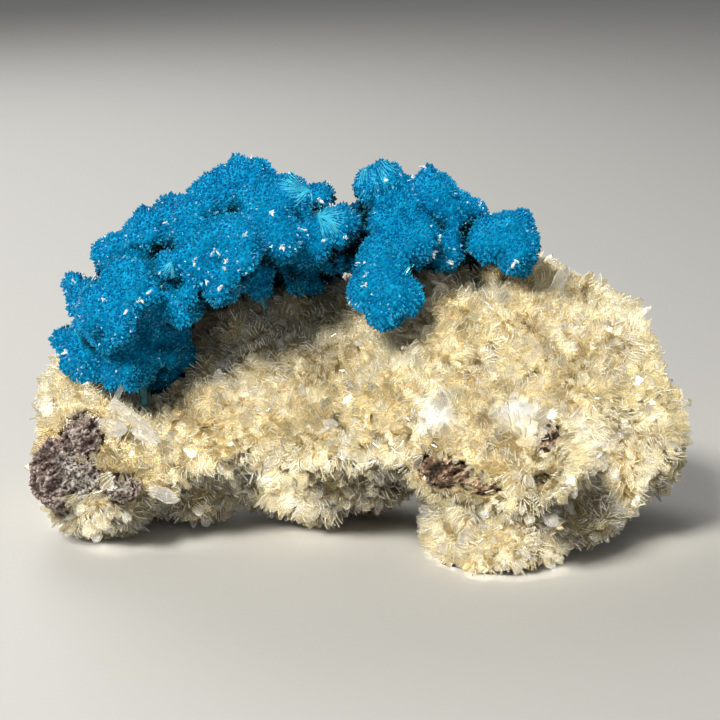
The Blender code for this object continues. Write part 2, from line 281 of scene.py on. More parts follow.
def rosette_heart_finish():
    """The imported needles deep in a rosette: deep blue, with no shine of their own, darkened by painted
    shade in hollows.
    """
    made, tree, shader, (depth,) = new_finish("cavansite_hearts", "depth")
    streak = patches(tree, 0.6 * MM, 3.0, *NOISE_MIDDLE)
    # Painted shade darkens the hollows.
    colour = laid_over(tree, tone("#0074A4"), (streak, tone("#00ACDC")), (depth, tone("#001220")))
    tree.links.new(colour, shader.inputs["Base Color"])
    shader.inputs["Roughness"].default_value = 0.8
    shader.inputs["Specular IOR Level"].default_value = 0.1
    return made


ROSETTE = rosette_finish()
HEART = rosette_heart_finish()
print("made:", ROSETTE.name, HEART.name)

# %% [markdown]
# ## Sprays, prisms and frost
# Three more finishes go with the blue. Long needles lie open to the light from all sides, so they
# are a lighter cyan and glassy, partly their own colour and partly painted light. A few stout
# prisms stand in the shade under the arch and are a dark teal, partly their own colour and partly
# painted shade. Grains of stilbite, dusted over the blue, are pale, and white on some, partly their
# own white and partly painted glints. The first two vary by a fine noise, because growth bands
# cross such crystals.

# %% The finishes of the sprays, the prisms and the frost


def spray_finish():
    """Long cavansite needles, open to the light from all sides: a lighter cyan, partly painted light, and
    glassy along their sides.
    """
    made, tree, shader, _ = new_finish("cavansite_sprays")
    # A lighter cyan than the rosettes, partly painted light.
    colour = laid_over(tree, tone("#00B4D8"), (patches(tree, 0.8 * MM, 2.0), tone("#7CF0F8")))
    tree.links.new(colour, shader.inputs["Base Color"])
    shader.inputs["IOR"].default_value = CAVANSITE_IOR
    shader.inputs["Roughness"].default_value = 0.12
    shader.inputs["Transmission Weight"].default_value = 0.25
    return made


def prism_finish():
    """Stout cavansite prisms in the shade of the arch: a dark teal, partly painted shade, and see-through at
    the edges.
    """
    made, tree, shader, _ = new_finish("cavansite_prisms")
    # A dark teal, partly painted shade.
    colour = laid_over(tree, tone("#004454"), (patches(tree, 0.6 * MM, 3.0), tone("#008494")))
    tree.links.new(colour, shader.inputs["Base Color"])
    shader.inputs["IOR"].default_value = CAVANSITE_IOR
    shader.inputs["Roughness"].default_value = 0.18
    shader.inputs["Transmission Weight"].default_value = 0.1
    return made


def frost_finish():
    """Grains of stilbite dusted over the blue: pale, and white on some by chance, partly painted glints."""
    made, tree, shader, (grain,) = new_finish("stilbite_frost", "grain")
    # White on grains chosen by chance, partly their own white and partly painted glints.
    colour = laid_over(tree, tone("#BFEAF4"), (grain, tone("#FFFFFF")))
    tree.links.new(colour, shader.inputs["Base Color"])
    shader.inputs["IOR"].default_value = STILBITE_IOR
    shader.inputs["Roughness"].default_value = 0.15
    return made


SPRAY = spray_finish()
PRISM = prism_finish()
FROST = frost_finish()
print("made:", SPRAY.name, PRISM.name, FROST.name)

# %% [markdown]
# ## Basalt
# The host rock is altered basalt, broken by hand and not sawn: fine grained, pitted with small gas
# holes, and dusted with pale zeolite in places. Iron makes it purple brown at the left end and tan
# at the right. The grain is finer than the picture can show, so it is drawn at 0.45 mm.

# %% The finish of the rock
PURPLE_AT = -25 * MM
TAN_AT = 5 * MM


def rock_finish():
    """Broken altered basalt: purple brown and grainy, dark in its pits as painted shade, paler on crests
    partly as painted highlight, dusted pale in places.
    """
    made, tree, shader, (ridge, dusty) = new_finish("broken_basalt", "ridge", "dusty")
    grain = patches(tree, 0.45 * MM, 3.0)
    speck = add(tree, "ShaderNodeMapRange", {0: grain, 1: 0.4, 2: 0.62}).outputs[0]
    place = add(tree, "ShaderNodeTexCoord").outputs["Object"]
    side = add(tree, "ShaderNodeSeparateXYZ", {0: place}).outputs["X"]
    iron = add(tree, "ShaderNodeMapRange", {0: side, 1: PURPLE_AT, 2: TAN_AT}).outputs[0]
    brown = laid_over(tree, tone("#6A4A44"), (iron, tone("#7A5A40")))
    pale = laid_over(tree, tone("#FFF2E8"), (iron, tone("#F0D2AC")))
    # Painted shade: the pits are near black. The crests are paler, with near white specks, partly painted
    # highlight.
    pits = laid_over(tree, tone("#120A0A"), (speck, brown))
    ridges = laid_over(tree, tone("#8A6658"), (speck, pale))
    dust = add(tree, "ShaderNodeMath", {0: speck, 1: dusty}, operation="MULTIPLY").outputs[0]
    colour = laid_over(tree, pits, (ridge, ridges), (dust, tone("#E6E4DA")))
    tree.links.new(colour, shader.inputs["Base Color"])
    bump = add(tree, "ShaderNodeBump", {"Height": grain, "Strength": 0.9, "Distance": 0.4 * MM})
    tree.links.new(bump.outputs["Normal"], shader.inputs["Normal"])
    shader.inputs["Roughness"].default_value = 0.45
    return made


ROCK = rock_finish()
print("made:", ROCK.name)

# %% [markdown]
# ## Skins to grow on
# A crystal crust hides its ground, so each skin is soft and closed and lies a little under the
# solid's own facets. The solids are loose triangles. They are merged in a copy and remeshed to an
# even grain, because their own facets would pull the crystals into rows. Subdividing them would
# keep the facets' corners, and a sculpted ground would leave the solids' places.

# %% Skins to grow on
MERGED_WITHIN = 0.002 * MM


def merged_bmesh(*nodes):
    """One bmesh of the nodes' facets with their loose corners merged."""
    bm = bmesh.new()
    for name in nodes:
        bm.from_mesh(frame["nodes"][name].data)
    bmesh.ops.remove_doubles(bm, verts=bm.verts, dist=MERGED_WITHIN)
    return bm


def new_piece(name, mesh):
    made = bpy.data.objects.new(name, mesh)
    bpy.context.scene.collection.objects.link(made)
    return made


def piece_of(name, bm):
    mesh = bpy.data.meshes.new(name)
    bm.to_mesh(mesh)
    bm.free()
    return new_piece(name, mesh)


def even_skin(piece, grid, rounds, kept=1.0):
    """One closed skin of even grain over everything in the piece, thinned to a share of its faces."""
    remesh = piece.modifiers.new("one skin", "REMESH")
    remesh.mode = "VOXEL"
    remesh.voxel_size = grid
    soften = piece.modifiers.new("soften", "SMOOTH")
    soften.factor = 0.5
    soften.iterations = rounds
    thin = piece.modifiers.new("thin", "DECIMATE")
    thin.ratio = kept
    graph = bpy.context.evaluated_depsgraph_get()
    mesh = bpy.data.meshes.new_from_object(piece.evaluated_get(graph), depsgraph=graph)
    piece.modifiers.clear()
    piece.data = mesh
    return piece


def smooth_step(value, low, high):
    share = min(1.0, max(0.0, (value - low) / (high - low)))
    return share * share * (3 - 2 * share)


def write_values(mesh, name, values, domain="POINT"):
    attribute = mesh.attributes.new(name, "FLOAT", domain)
    attribute.data.foreach_set("value", values)


print("facets of the druse's solid:", len(frame["nodes"]["stilbite_matrix"].data.polygons))

# %% [markdown]
# ## Places from the picture
# Chance places nearly every crystal, as it did on the real thing. But an eye that knows the
# specimen looks for its few landmarks: a rusty spot, a white burst of blades, a glint. Each is a
# named pixel, and the camera's ray through it finds the place on the skin, so that the mark sits
# on what carries it from every side.

# %% Places from the picture
SEARCH_STEPS = 12


def skins_of(*pieces):
    """What a ray can hit."""
    bm = bmesh.new()
    for piece in pieces:
        bm.from_mesh(piece.data)
    found = BVHTree.FromBMesh(bm)
    bm.free()
    return found


def seen_at(pixel, skins, step=(0, 0)):
    """The place on the skins behind a pixel and its normal, or behind one a few steps from it."""
    for count in range(SEARCH_STEPS if any(step) else 1):
        start, way = ray_through((pixel[0] + count * step[0], pixel[1] + count * step[1]))
        place, normal = skins.ray_cast(start, way)[:2]
        if place is not None:
            break
    return place, normal


def places_at(pixels, skins, step):
    """The places behind the pixels and their normals, without the ones that miss the skins."""
    seen = [seen_at(pixel, skins, step) for pixel in pixels]
    return [(place, normal) for place, normal in seen if place is not None]


def spots_at(table, skins):
    """The places behind a table's pixels, each with its width, without the ones that miss."""
    seen = [(seen_at(pixel, skins)[0], wide * MM) for pixel, wide in table]
    return [(spot, wide) for spot, wide in seen if spot is not None]


def nearness(place, spots):
    """One on a spot, and less the further away, over the spot's width."""
    return sum(math.exp(-((place - spot).length / wide) ** 2) for spot, wide in spots)


print("the picture's middle lies along", ray_through((PICTURE / 2, PICTURE / 2))[1])

# %% [markdown]
# ## How deep a place lies
# Light hardly reaches the bottom of a cleft. The lamps give the large shadows. The fine ones are
# painted shade, kept on the skin as a value that the finishes darken the colour by: from each
# corner ten rays go out, and the share that meets the skin or the floor says how closed in it is.
# The crystals take it over from the place that they stand on. An ambient occlusion node does much
# the same in the shader, but it is slow on thousands of glassy blades, and they would darken one
# another.

# %% How deep a place lies
HOLLOW_RAYS = 10
RAY_LIFT = 0.1 * MM
RAY_LEAN = 0.95
FLOOR_REACH = 6 * MM


def any_way(rng):
    """A direction with no preference."""
    while True:
        way = Vector([rng.uniform(-1, 1) for _ in range(3)])
        if 0.1 < way.length < 1:
            return way.normalized()


def closed_way(around, start, way, reach):
    """True where the skin or the floor stands in the way."""
    down = -start.z / way.z if way.z < 0 else FLOOR_REACH
    return down < FLOOR_REACH or around.ray_cast(start, way, reach)[0] is not None


def mark_hollows(piece, around, reach, open_share, shut_share):
    """Keeps how deep each corner lies as painted shade, from the share of ways out that are closed there."""
    rng = random.Random(SEED)
    ways = [any_way(rng) for _ in range(HOLLOW_RAYS)]
    bm = bmesh.new()
    bm.from_mesh(piece.data)
    bm.normal_update()
    painted_shades = []
    for vert in bm.verts:
        start = vert.co + vert.normal * RAY_LIFT
        closed = sum(
            closed_way(around, start, (vert.normal + RAY_LEAN * way).normalized(), reach) for way in ways
        )
        painted_shades.append(smooth_step(closed / HOLLOW_RAYS, open_share, shut_share))
    bm.free()
    write_values(piece.data, "depth", painted_shades)


print("rays from each corner:", HOLLOW_RAYS)

# %% [markdown]
# ## The druse's ground
# The ground is lowered under the solid's facets by about the length that the blades add, and low
# mounds of 5 mm give the sheaves something to radiate from. Where it meets the rock or the blue it
# isn't lowered, so that its rim closes on them. Room is how thickly blades stand at a place: thin
# on undersides, under the blue and in the bare spots round the holes. Reach is how long they are.
# The lowest part is flattened, because the specimen rests on it.

# %% The druse's ground
ROCKS = ("basalt_left", "basalt_right", "basalt_upper")
BLUES = ("cavansite_arch", "cavansite_crown", "cavansite_ball")
DRUSE_GRID = 0.6 * MM
DRUSE_KEPT = 0.3
DRUSE_SINK = 0.8 * MM
MOUND_WIDE = 5.0 * MM
MOUND_HIGH = 0.9 * MM
MOUND_LEVEL = 0.4
RIM = (0.5 * MM, 3 * MM)
UNDERSIDE = (0.5, 0.9)
UNDERSIDE_LOSS = 0.5
UNDER_BLUE = 0.8 * MM
THIN = 0.2
BARELY_ANY = 0.15
LONG_PATCH = 6 * MM
LONG_SWING = 0.5
ROCK_RIM = (0.3 * MM, 2 * MM)
RIM_REACH = 0.75
RUSTIEST = 0.7
REST_BAND = 0.7 * MM
DRUSE_HOLLOWS = (6 * MM, 0.2, 0.8)
BARE = [((538, 436), 1.6), ((546, 446), 1.4), ((540, 478), 1.3), ((532, 456), 1.8)]
RUSTY = [
    ((440, 444), 1.6), ((510, 438), 1.9), ((503, 463), 1.6), ((52, 432), 2.6), ((46, 452), 1.8),
    ((462, 558), 1.6),
]
WHITE = [((435, 418), 2.4), ((516, 414), 2.8), ((552, 436), 1.6)]


def room_at(vert, to_blue, bare):
    if any((vert.co - spot).length < wide for spot, wide in bare):
        return BARELY_ANY
    lost = UNDERSIDE_LOSS * smooth_step(-vert.normal.z, *UNDERSIDE)
    return (THIN if to_blue < UNDER_BLUE else 1.0) * (1 - lost)


def reach_at(place, to_rock):
    rim = RIM_REACH + (1 - RIM_REACH) * smooth_step(to_rock, *ROCK_RIM)
    return (1.0 + LONG_SWING * noise.noise(place / LONG_PATCH)) * rim


def druse_skin():
    """The ground of the druse, with the values that its blades follow."""
    rock = BVHTree.FromBMesh(merged_bmesh(*ROCKS))
    blue = BVHTree.FromBMesh(merged_bmesh(*BLUES))
    piece = even_skin(piece_of("druse_ground", merged_bmesh("stilbite_matrix")), DRUSE_GRID, 3, DRUSE_KEPT)
    seen = skins_of(piece)
    rusty, bare, white = (spots_at(table, seen) for table in (RUSTY, BARE, WHITE))
    bm = bmesh.new()
    bm.from_mesh(piece.data)
    bm.normal_update()
    values = {"room": [], "reach": [], "rust": [], "white": []}
    for vert in bm.verts:
        to_rock = rock.find_nearest(vert.co)[3]
        to_blue = blue.find_nearest(vert.co)[3]
        values["room"].append(room_at(vert, to_blue, bare))
        values["reach"].append(reach_at(vert.co, to_rock))
        values["rust"].append(RUSTIEST * nearness(vert.co, rusty))
        values["white"].append(nearness(vert.co, white))
        lift = MOUND_HIGH * (MOUND_LEVEL - noise.voronoi(vert.co / MOUND_WIDE)[0][0]) - DRUSE_SINK
        vert.co += vert.normal * lift * smooth_step(min(to_rock, to_blue), *RIM)
        if vert.co.z < REST_BAND:
            vert.co.z = 0.0
            values["room"][-1] = 0.0
    bm.to_mesh(piece.data)
    area = sum(face.calc_area() for face in bm.faces)
    bm.free()
    for name, its_values in values.items():
        write_values(piece.data, name, its_values)
    mark_hollows(piece, skins_of(piece), *DRUSE_HOLLOWS)
    piece.data.shade_smooth()
    print(f"druse ground: {len(piece.data.polygons)} faces, {area / MM / MM:.0f} square millimetres")
    return piece


ground = druse_skin()

# %% [markdown]
# ## The rosettes' ground
# A rosette is a ball of needles, and the crust is many balls grown into one another, each with
# knobs of its own. The balls repeat the places and sizes, in millimetres, that the solids were
# made from, and behind the front ones the crust goes on in rows. Two more link the arch and the
# crown. All of them could be kept as separate balls, but joined in one skin they hide nothing
# inside, so that every needle shows.

# %% The rosettes' places
ARCH_ROSETTES = [
    ((-40, -4, 28.5), 4.7), ((-34, -6, 28), 4.8), ((-30.5, 0, 24), 3.4), ((-44, -3, 30), 1.8),
    ((-39.5, -3, 36), 3.4), ((-36, -8, 35), 5.1), ((-42.3, -1, 38), 1.7), ((-35, -1, 42), 4.2),
    ((-32, -7, 39), 5.2), ((-30.8, -2, 44.7), 4.6), ((-26.5, -7, 37.5), 3.8), ((-27.3, -1, 47), 4.1),
    ((-24, -3, 47.2), 5.1), ((-23, -8, 43), 4.1), ((-21.5, 0, 50.5), 3.6), ((-17, 1, 52), 4.6),
    ((-14, -2, 49.7), 4.9), ((-17.5, -8, 46.5), 4.0), ((-20, -9, 40), 2.8), ((-16, -5, 41), 3.1),
    ((-11, 0, 50), 4.1), ((-12, -5, 46.5), 3.8), ((-7.5, -2, 45.3), 3.8), ((-6, 1, 50.5), 2.3),
    ((-9, 3, 40.5), 3.0), ((-7.5, 4, 37), 2.2), ((-2.8, -3, 47.2), 3.2), ((-29.5, -1, 30), 4.4),
    ((-27.8, 1, 25.5), 3.2), ((-31.5, -3, 33.5), 4.6),
]
CROWN_ROSETTES = [
    ((3.2, 1, 52), 3.9), ((4.4, -3, 47.5), 3.5), ((7, -1, 49.5), 3.6), ((10.5, 1, 50.5), 4.3),
    ((13.8, 1, 48), 4.0), ((16.5, 2, 48), 2.3), ((8, -5, 45.5), 3.6), ((12.3, -3, 43.5), 3.0),
    ((3.5, -7, 43), 3.7), ((1.2, -7, 38.5), 3.2), ((5.4, -9, 38.5), 3.4), ((3.5, -8, 35.5), 2.6),
    ((1.2, -2, 41.5), 2.5), ((6, 3, 44), 5.5),
]
LINK_ROSETTES = [((-1.5, 1.0, 42.5), 3.2), ((-0.5, 3.0, 46.0), 3.2)]
BALL_ROSETTES = [((18.8, -4, 45.5), 3.2), ((22, -3, 45.7), 4.0), ((22.6, -4.5, 43.3), 3.0)]
ARCH_SPINE = [(-37.5, 3, 27), (-34, 4, 36), (-26, 5, 42), (-16, 6, 45), (-6, 5, 43.5)]
CROWN_SPINE = [(4, 5, 44.5), (10, 6, 45), (15, 6, 43)]
SPINE_STEP = 5.5
SPINE_ROWS = ((0.0, 0.0, 5.2), (6.0, -3.0, 4.7), (8.5, -9.0, 4.5))


def along_line(line, step):
    """Points every step along a bent line, in millimetres."""
    points = [Vector(point) for point in line]
    found = [points[0]]
    for start, end in zip(points, points[1:]):
        count = max(1, round((end - start).length / step))
        found += [start.lerp(end, (i + 1) / count) for i in range(count)]
    return found


def band_behind(line, rng):
    """Rosettes in rows behind a line of the arch, each row further back and lower."""
    balls = []
    for back, down, radius in SPINE_ROWS:
        for point in along_line(line, SPINE_STEP):
            centre = point + Vector((rng.uniform(-1, 1), back + rng.uniform(-1, 1), down))
            balls.append((centre, radius * rng.uniform(0.85, 1.0)))
    return balls


rng = random.Random(SEED)
arch_band = band_behind(ARCH_SPINE, rng)
crown_band = band_behind(CROWN_SPINE, rng)
print("rosettes behind the front ones:", len(arch_band), "and", len(crown_band))

# %% [markdown]
# ## The rosettes' skins
# Fifteen little rosettes, too small for the solids, stand on the arch where the picture shows
# them. Then every rosette gets fourteen knobs, all balls go in one mesh from plain lists, which is
# quick even for thousands, and a remesh melts them into the crust's skin.

# %% The rosettes' skins
BLUE_GRID = 0.5 * MM
BLUE_KEPT = 0.35
KNOBS = 14
CORE = 0.88
KNOB_SIZES = (0.2, 0.4)
KNOBS_REACH = 1.1
BLUE_HOLLOWS = (8 * MM, 0.15, 0.65)
UP_THE_PICTURE = (0, -1.5)
SMALL_ROSETTES = [
    ((170, 264), 2.0), ((226, 276), 1.8), ((260, 290), 1.5), ((206, 306), 1.6), ((150, 238), 1.6),
    ((244, 262), 1.6), ((298, 284), 1.6), ((332, 262), 1.7), ((356, 268), 1.6), ((186, 296), 1.5),
    ((120, 330), 1.8), ((168, 356), 1.6), ((92, 322), 1.6), ((210, 240), 1.5), ((374, 300), 1.6),
]


def small_rosettes():
    """Little rosettes that stand on the arch where the picture shows them."""
    skin = BVHTree.FromBMesh(merged_bmesh("cavansite_arch"))
    places = [(seen_at(pixel, skin, UP_THE_PICTURE)[0], radius) for pixel, radius in SMALL_ROSETTES]
    return [(place / MM, radius) for place, radius in places if place is not None]


def many_balls(name, balls):
    """One mesh of balls, each from its centre and radius in millimetres."""
    bm = bmesh.new()
    bmesh.ops.create_icosphere(bm, subdivisions=3, radius=1.0)
    corners = [vert.co.copy() for vert in bm.verts]
    sides = [[vert.index for vert in face.verts] for face in bm.faces]
    bm.free()
    points = [(centre + corner * radius) * MM for centre, radius in balls for corner in corners]
    starts = range(0, len(points), len(corners))
    mesh = bpy.data.meshes.new(name)
    mesh.from_pydata(points, [], [[start + i for i in side] for start in starts for side in sides])
    return new_piece(name, mesh)


def rosette_skin(name, rosettes, rng):
    """The joined skin of knobbed balls."""
    balls = []
    for centre, radius in rosettes:
        middle = Vector(centre)
        balls.append((middle, CORE * radius))
        for _ in range(KNOBS):
            size = radius * rng.uniform(*KNOB_SIZES)
            balls.append((middle + any_way(rng) * (KNOBS_REACH * radius - size), size))
    piece = even_skin(many_balls(name, balls), BLUE_GRID, 1, BLUE_KEPT)
    for value in ("room", "reach"):
        write_values(piece.data, value, [1.0] * len(piece.data.vertices))
    piece.data.shade_smooth()
    print(f"{name}: {len(piece.data.polygons)} faces")
    return piece


blue_grounds = {
    "cavansite_arch": rosette_skin("arch_ground", ARCH_ROSETTES + small_rosettes() + arch_band, rng),
    "cavansite_crown": rosette_skin("crown_ground", CROWN_ROSETTES + LINK_ROSETTES + crown_band, rng),
    "cavansite_ball": rosette_skin("ball_ground", BALL_ROSETTES, rng),
}
all_skins = skins_of(ground, *blue_grounds.values())
for skin in blue_grounds.values():
    mark_hollows(skin, all_skins, *BLUE_HOLLOWS)

# %% [markdown]
# ## Single crystals
# A stilbite blade is a flat plate that widens from its root and ends in a low roof or a blunt
# edge. A cavansite needle widens from its root too, because it grew outwards from the ball's
# middle. Each has six to eight faces, since thousands of them are needed. Two values go with
# them: along runs from 0 at the root to 1 at the tip, and edge marks the narrow sides.

# %% Single crystals
NEEDLE_ROOT = 0.15


def plate(outline, size):
    """Corners, faces and edge marks of a plate, from its outline as shares of width and length."""
    width, length, thick = size
    corners = [Vector((x * width, side * thick / 2, z * length)) for side in (-1, 1) for x, z in outline]
    count = len(outline)
    faces = [tuple(range(count)), tuple(reversed(range(count, 2 * count)))]
    for i in range(count):
        j = (i + 1) % count
        faces.append((j, i, i + count, j + count))
    return corners, faces, [0.0, 0.0] + [1.0] * count


def needle(sides, size):
    """Corners, faces and edge marks of a needle that widens from its root to a low point."""
    width, length, shoulder = size
    corners = [Vector((0, 0, -NEEDLE_ROOT * length))]
    for i in range(sides):
        angle = math.tau * i / sides
        corners.append(Vector((math.cos(angle) * width / 2, math.sin(angle) * width / 2, shoulder * length)))
    corners.append(Vector((0, 0, length)))
    faces = []
    for i in range(sides):
        a, b = 1 + i, 1 + (i + 1) % sides
        faces += [(0, b, a), (a, b, sides + 1)]
    return corners, faces, [0.0] * len(faces)


def crystal_mesh(name, crystals, length):
    """One mesh of several crystals, each with the matrix that places it."""
    points = []
    faces = []
    heights = []
    edges = []
    for (corners, its_faces, marks), matrix in crystals:
        start = len(points)
        points += [matrix @ corner for corner in corners]
        heights += [min(1.0, max(0.0, corner.z / length)) for corner in corners]
        faces += [tuple(start + i for i in face) for face in its_faces]
        edges += marks
    mesh = bpy.data.meshes.new(name)
    mesh.from_pydata(points, [], faces)
    bm = bmesh.new()
    bm.from_mesh(mesh)
    bmesh.ops.recalc_face_normals(bm, faces=bm.faces)
    bm.to_mesh(mesh)
    bm.free()
    write_values(mesh, "along", heights)
    write_values(mesh, "edge", edges, "FACE")
    return mesh


def crystals_in(name, meshes):
    """A collection that holds one object for each kind of crystal."""
    made = bpy.data.collections.new(name)
    bpy.context.scene.collection.children.link(made)
    for mesh in meshes:
        made.objects.link(bpy.data.objects.new(mesh.name, mesh))
    return made


print("faces of a four-sided needle:", len(needle(4, (1, 1, 0.5))[1]))

# %% [markdown]
# ## Sheaves and needles
# Five blades that lean apart from one root make a sheaf, as in a sheaf of wheat, and that is how
# stilbite is known in the hand. Four sheaves, from nearly closed to wide open, are enough, because
# each is turned and scaled by chance where it grows. The needles come in three cuts.

# %% Sheaves and needles
BLADE_LONG = 1.7 * MM
BLADE_WIDE = 1.25 * MM
BLADE_THICK = 0.12 * MM
BLADES_IN_A_SHEAF = 5
SHEAF_FOOT = 1.3 * MM
SPREADS = (0.2, 0.35, 0.5, 0.65)
POINTED = [(0, -0.5), (0.5, 0.55), (0.06, 1.0), (-0.5, 0.6)]
BLUNT = [(0, -0.5), (0.5, 0.7), (0.25, 1.0), (-0.2, 0.98), (-0.5, 0.65)]
NEEDLE_LONG = 0.65 * MM
NEEDLE_WIDE = 0.52 * MM
NEEDLE_CUTS = ((4, 1.0, 0.45), (4, 0.8, 0.3), (3, 1.1, 0.5))


def sheaf_of_blades(name, rng, spread):
    """Blades side by side that lean apart."""
    blades = []
    for i in range(BLADES_IN_A_SHEAF):
        share = i / (BLADES_IN_A_SHEAF - 1) - 0.5
        outline = rng.choice((POINTED, POINTED, BLUNT))
        size = (BLADE_WIDE * rng.uniform(0.7, 1.2), BLADE_LONG * rng.uniform(0.7, 1.1), BLADE_THICK)
        turn = Matrix.Rotation(-spread * 2 * share + rng.uniform(-0.1, 0.1), 4, "X")
        twist = Matrix.Rotation(rng.uniform(-0.35, 0.35), 4, "Z")
        shift = Matrix.Translation((rng.uniform(-0.4, 0.4) * MM, share * SHEAF_FOOT, 0))
        blades.append((plate(outline, size), shift @ turn @ twist))
    return crystal_mesh(name, blades, BLADE_LONG)


def needle_mesh(name, sides, wide, shoulder):
    parts = needle(sides, (NEEDLE_WIDE * wide, NEEDLE_LONG, shoulder))
    return crystal_mesh(name, [(parts, Matrix.Identity(4))], NEEDLE_LONG)


sheaf_meshes = [sheaf_of_blades(f"sheaf_{i}", rng, spread) for i, spread in enumerate(SPREADS)]
sheaves = crystals_in("sheaves", sheaf_meshes)
needles = crystals_in("needles", [needle_mesh(f"needle_{i}", *cut) for i, cut in enumerate(NEEDLE_CUTS)])

# %% [markdown]
# ## Growing crystals on a skin
# On the real thing crystals start at scattered seeds and crowd until they touch. Geometry Nodes do
# the same: points are scattered with a least spacing, each gets one of the crystals, turned to
# stand on the skin, spun about itself and leaned over by chance. It could be done with a particle
# system too, but the tree states every size as a named input and its result is a plain mesh. The
# values kept on the skin pass to the crystals, and from X and to X cut one scatter into pieces.
# Each use of chance has a seed of its own, ten apart, so that size and lean don't go together.

# %% The growing tree
GROWTH_INPUTS = {
    "Crystals": "NodeSocketCollection",
    "Kinds": "NodeSocketInt",
    "Spacing": "NodeSocketFloat",
    "Smallest": "NodeSocketFloat",
    "Largest": "NodeSocketFloat",
    "Lean": "NodeSocketFloat",
    "From X": "NodeSocketFloat",
    "To X": "NodeSocketFloat",
    "Seed": "NodeSocketInt",
    "Finish": "NodeSocketMaterial",
}
TRIES_PER_SPACING = 10.0
SEEDS_APART = 10.0
# Where a Random Value node of each kind takes its least and its most, and where it gives the result.
RANDOM_SOCKETS = {"FLOAT": (2, 3, 1), "INT": (4, 5, 2)}


def growth_tree():
    tree = bpy.data.node_groups.new("crystal_growth", "GeometryNodeTree")
    tree.interface.new_socket("Skin", in_out="INPUT", socket_type="NodeSocketGeometry")
    for name, kind in GROWTH_INPUTS.items():
        tree.interface.new_socket(name, in_out="INPUT", socket_type=kind)
    tree.interface.new_socket("Crystals", in_out="OUTPUT", socket_type="NodeSocketGeometry")
    given = add(tree, "NodeGroupInput").outputs
    lean = add(tree, "ShaderNodeMath", {0: given["Lean"], 1: -1.0}, operation="MULTIPLY").outputs[0]
    limits = {
        "grain": ("FLOAT", 0.0, 1.0),
        "tilt": ("FLOAT", lean, given["Lean"]),
        "spin": ("FLOAT", 0.0, math.tau),
        "size": ("FLOAT", given["Smallest"], given["Largest"]),
        "kind": ("INT", 0, given["Kinds"]),
    }
    chance = {}
    for count, (use, (kind, low, high)) in enumerate(limits.items(), start=1):
        first, last, result = RANDOM_SOCKETS[kind]
        seed = add(tree, "ShaderNodeMath", {0: given["Seed"], 1: SEEDS_APART * count}).outputs[0]
        made = add(tree, "FunctionNodeRandomValue", {first: low, last: high, "Seed": seed}, data_type=kind)
        chance[use] = made.outputs[result]
    room = add(tree, "GeometryNodeInputNamedAttribute", {"Name": "room"}).outputs["Attribute"]
    square = add(tree, "ShaderNodeMath", {0: given["Spacing"], 1: 2.0}, operation="POWER").outputs[0]
    tries = add(tree, "ShaderNodeMath", {0: TRIES_PER_SPACING, 1: square}, operation="DIVIDE").outputs[0]
    seeds = add(
        tree, "GeometryNodeDistributePointsOnFaces",
        {"Mesh": given["Skin"], "Distance Min": given["Spacing"], "Density Max": tries,
         "Density Factor": room, "Seed": given["Seed"]},
        distribute_method="POISSON",
    )
    place = add(tree, "GeometryNodeInputPosition").outputs[0]
    x = add(tree, "ShaderNodeSeparateXYZ", {0: place}).outputs["X"]
    left = add(tree, "FunctionNodeCompare", {0: x, 1: given["From X"]}, operation="LESS_THAN").outputs[0]
    right = add(tree, "FunctionNodeCompare", {0: x, 1: given["To X"]}, operation="GREATER_EQUAL").outputs[0]
    outside = add(tree, "FunctionNodeBooleanMath", {0: left, 1: right}, operation="OR").outputs[0]
    kept = add(tree, "GeometryNodeDeleteGeometry", {0: seeds.outputs["Points"], 1: outside}).outputs[0]
    told = add(
        tree, "GeometryNodeStoreNamedAttribute",
        {"Geometry": kept, "Name": "grain", "Value": chance["grain"]},
    ).outputs[0]
    tilt = add(tree, "ShaderNodeCombineXYZ", {0: chance["tilt"], 2: chance["spin"]}).outputs[0]
    turn = add(tree, "FunctionNodeEulerToRotation", {0: tilt}).outputs[0]
    stand = add(
        tree, "FunctionNodeRotateRotation", {0: seeds.outputs["Rotation"], 1: turn}, rotation_space="LOCAL"
    ).outputs[0]
    kinds = add(
        tree, "GeometryNodeCollectionInfo",
        {"Collection": given["Crystals"], "Separate Children": True, "Reset Children": True},
    ).outputs[0]
    reach = add(tree, "GeometryNodeInputNamedAttribute", {"Name": "reach"}).outputs["Attribute"]
    size = add(tree, "ShaderNodeMath", {0: chance["size"], 1: reach}, operation="MULTIPLY").outputs[0]
    crystals = add(
        tree, "GeometryNodeInstanceOnPoints",
        {"Points": told, "Instance": kinds, "Pick Instance": True,
         "Instance Index": chance["kind"], "Rotation": stand, "Scale": size},
    ).outputs[0]
    real = add(tree, "GeometryNodeRealizeInstances", {0: crystals}).outputs[0]
    finish = {"Geometry": real, "Material": given["Finish"]}
    add(tree, "NodeGroupOutput", {0: add(tree, "GeometryNodeSetMaterial", finish).outputs[0]})
    return tree


GROWTH = growth_tree()
print("the tree has", len(GROWTH.nodes), "nodes")

# %% [markdown]
# ## One piece of crystals
# A modifier carries the tree. Its inputs are set by their sockets' identifiers, which stay the
# same when a name changes. What it makes is then kept as a plain mesh of its own, and the skin
# loses the modifier, so that the next piece can grow on the same skin.

# %% One piece of crystals


def grown(name, skin, **values):
    """A piece of plain mesh with the crystals that the tree grows on the skin."""
    growth = skin.modifiers.new("growth", "NODES")
    growth.node_group = GROWTH
    for item in GROWTH.interface.items_tree:
        key = item.name.lower().replace(" ", "_")
        if item.in_out == "INPUT" and key in values:
            growth[item.identifier] = values[key]
    graph = bpy.context.evaluated_depsgraph_get()
    mesh = bpy.data.meshes.new_from_object(skin.evaluated_get(graph), depsgraph=graph)
    skin.modifiers.remove(growth)
    made = new_piece(name, mesh)
    mesh.calc_loop_triangles()
    print(f"{name}: {len(mesh.loop_triangles)} triangles")
    return made


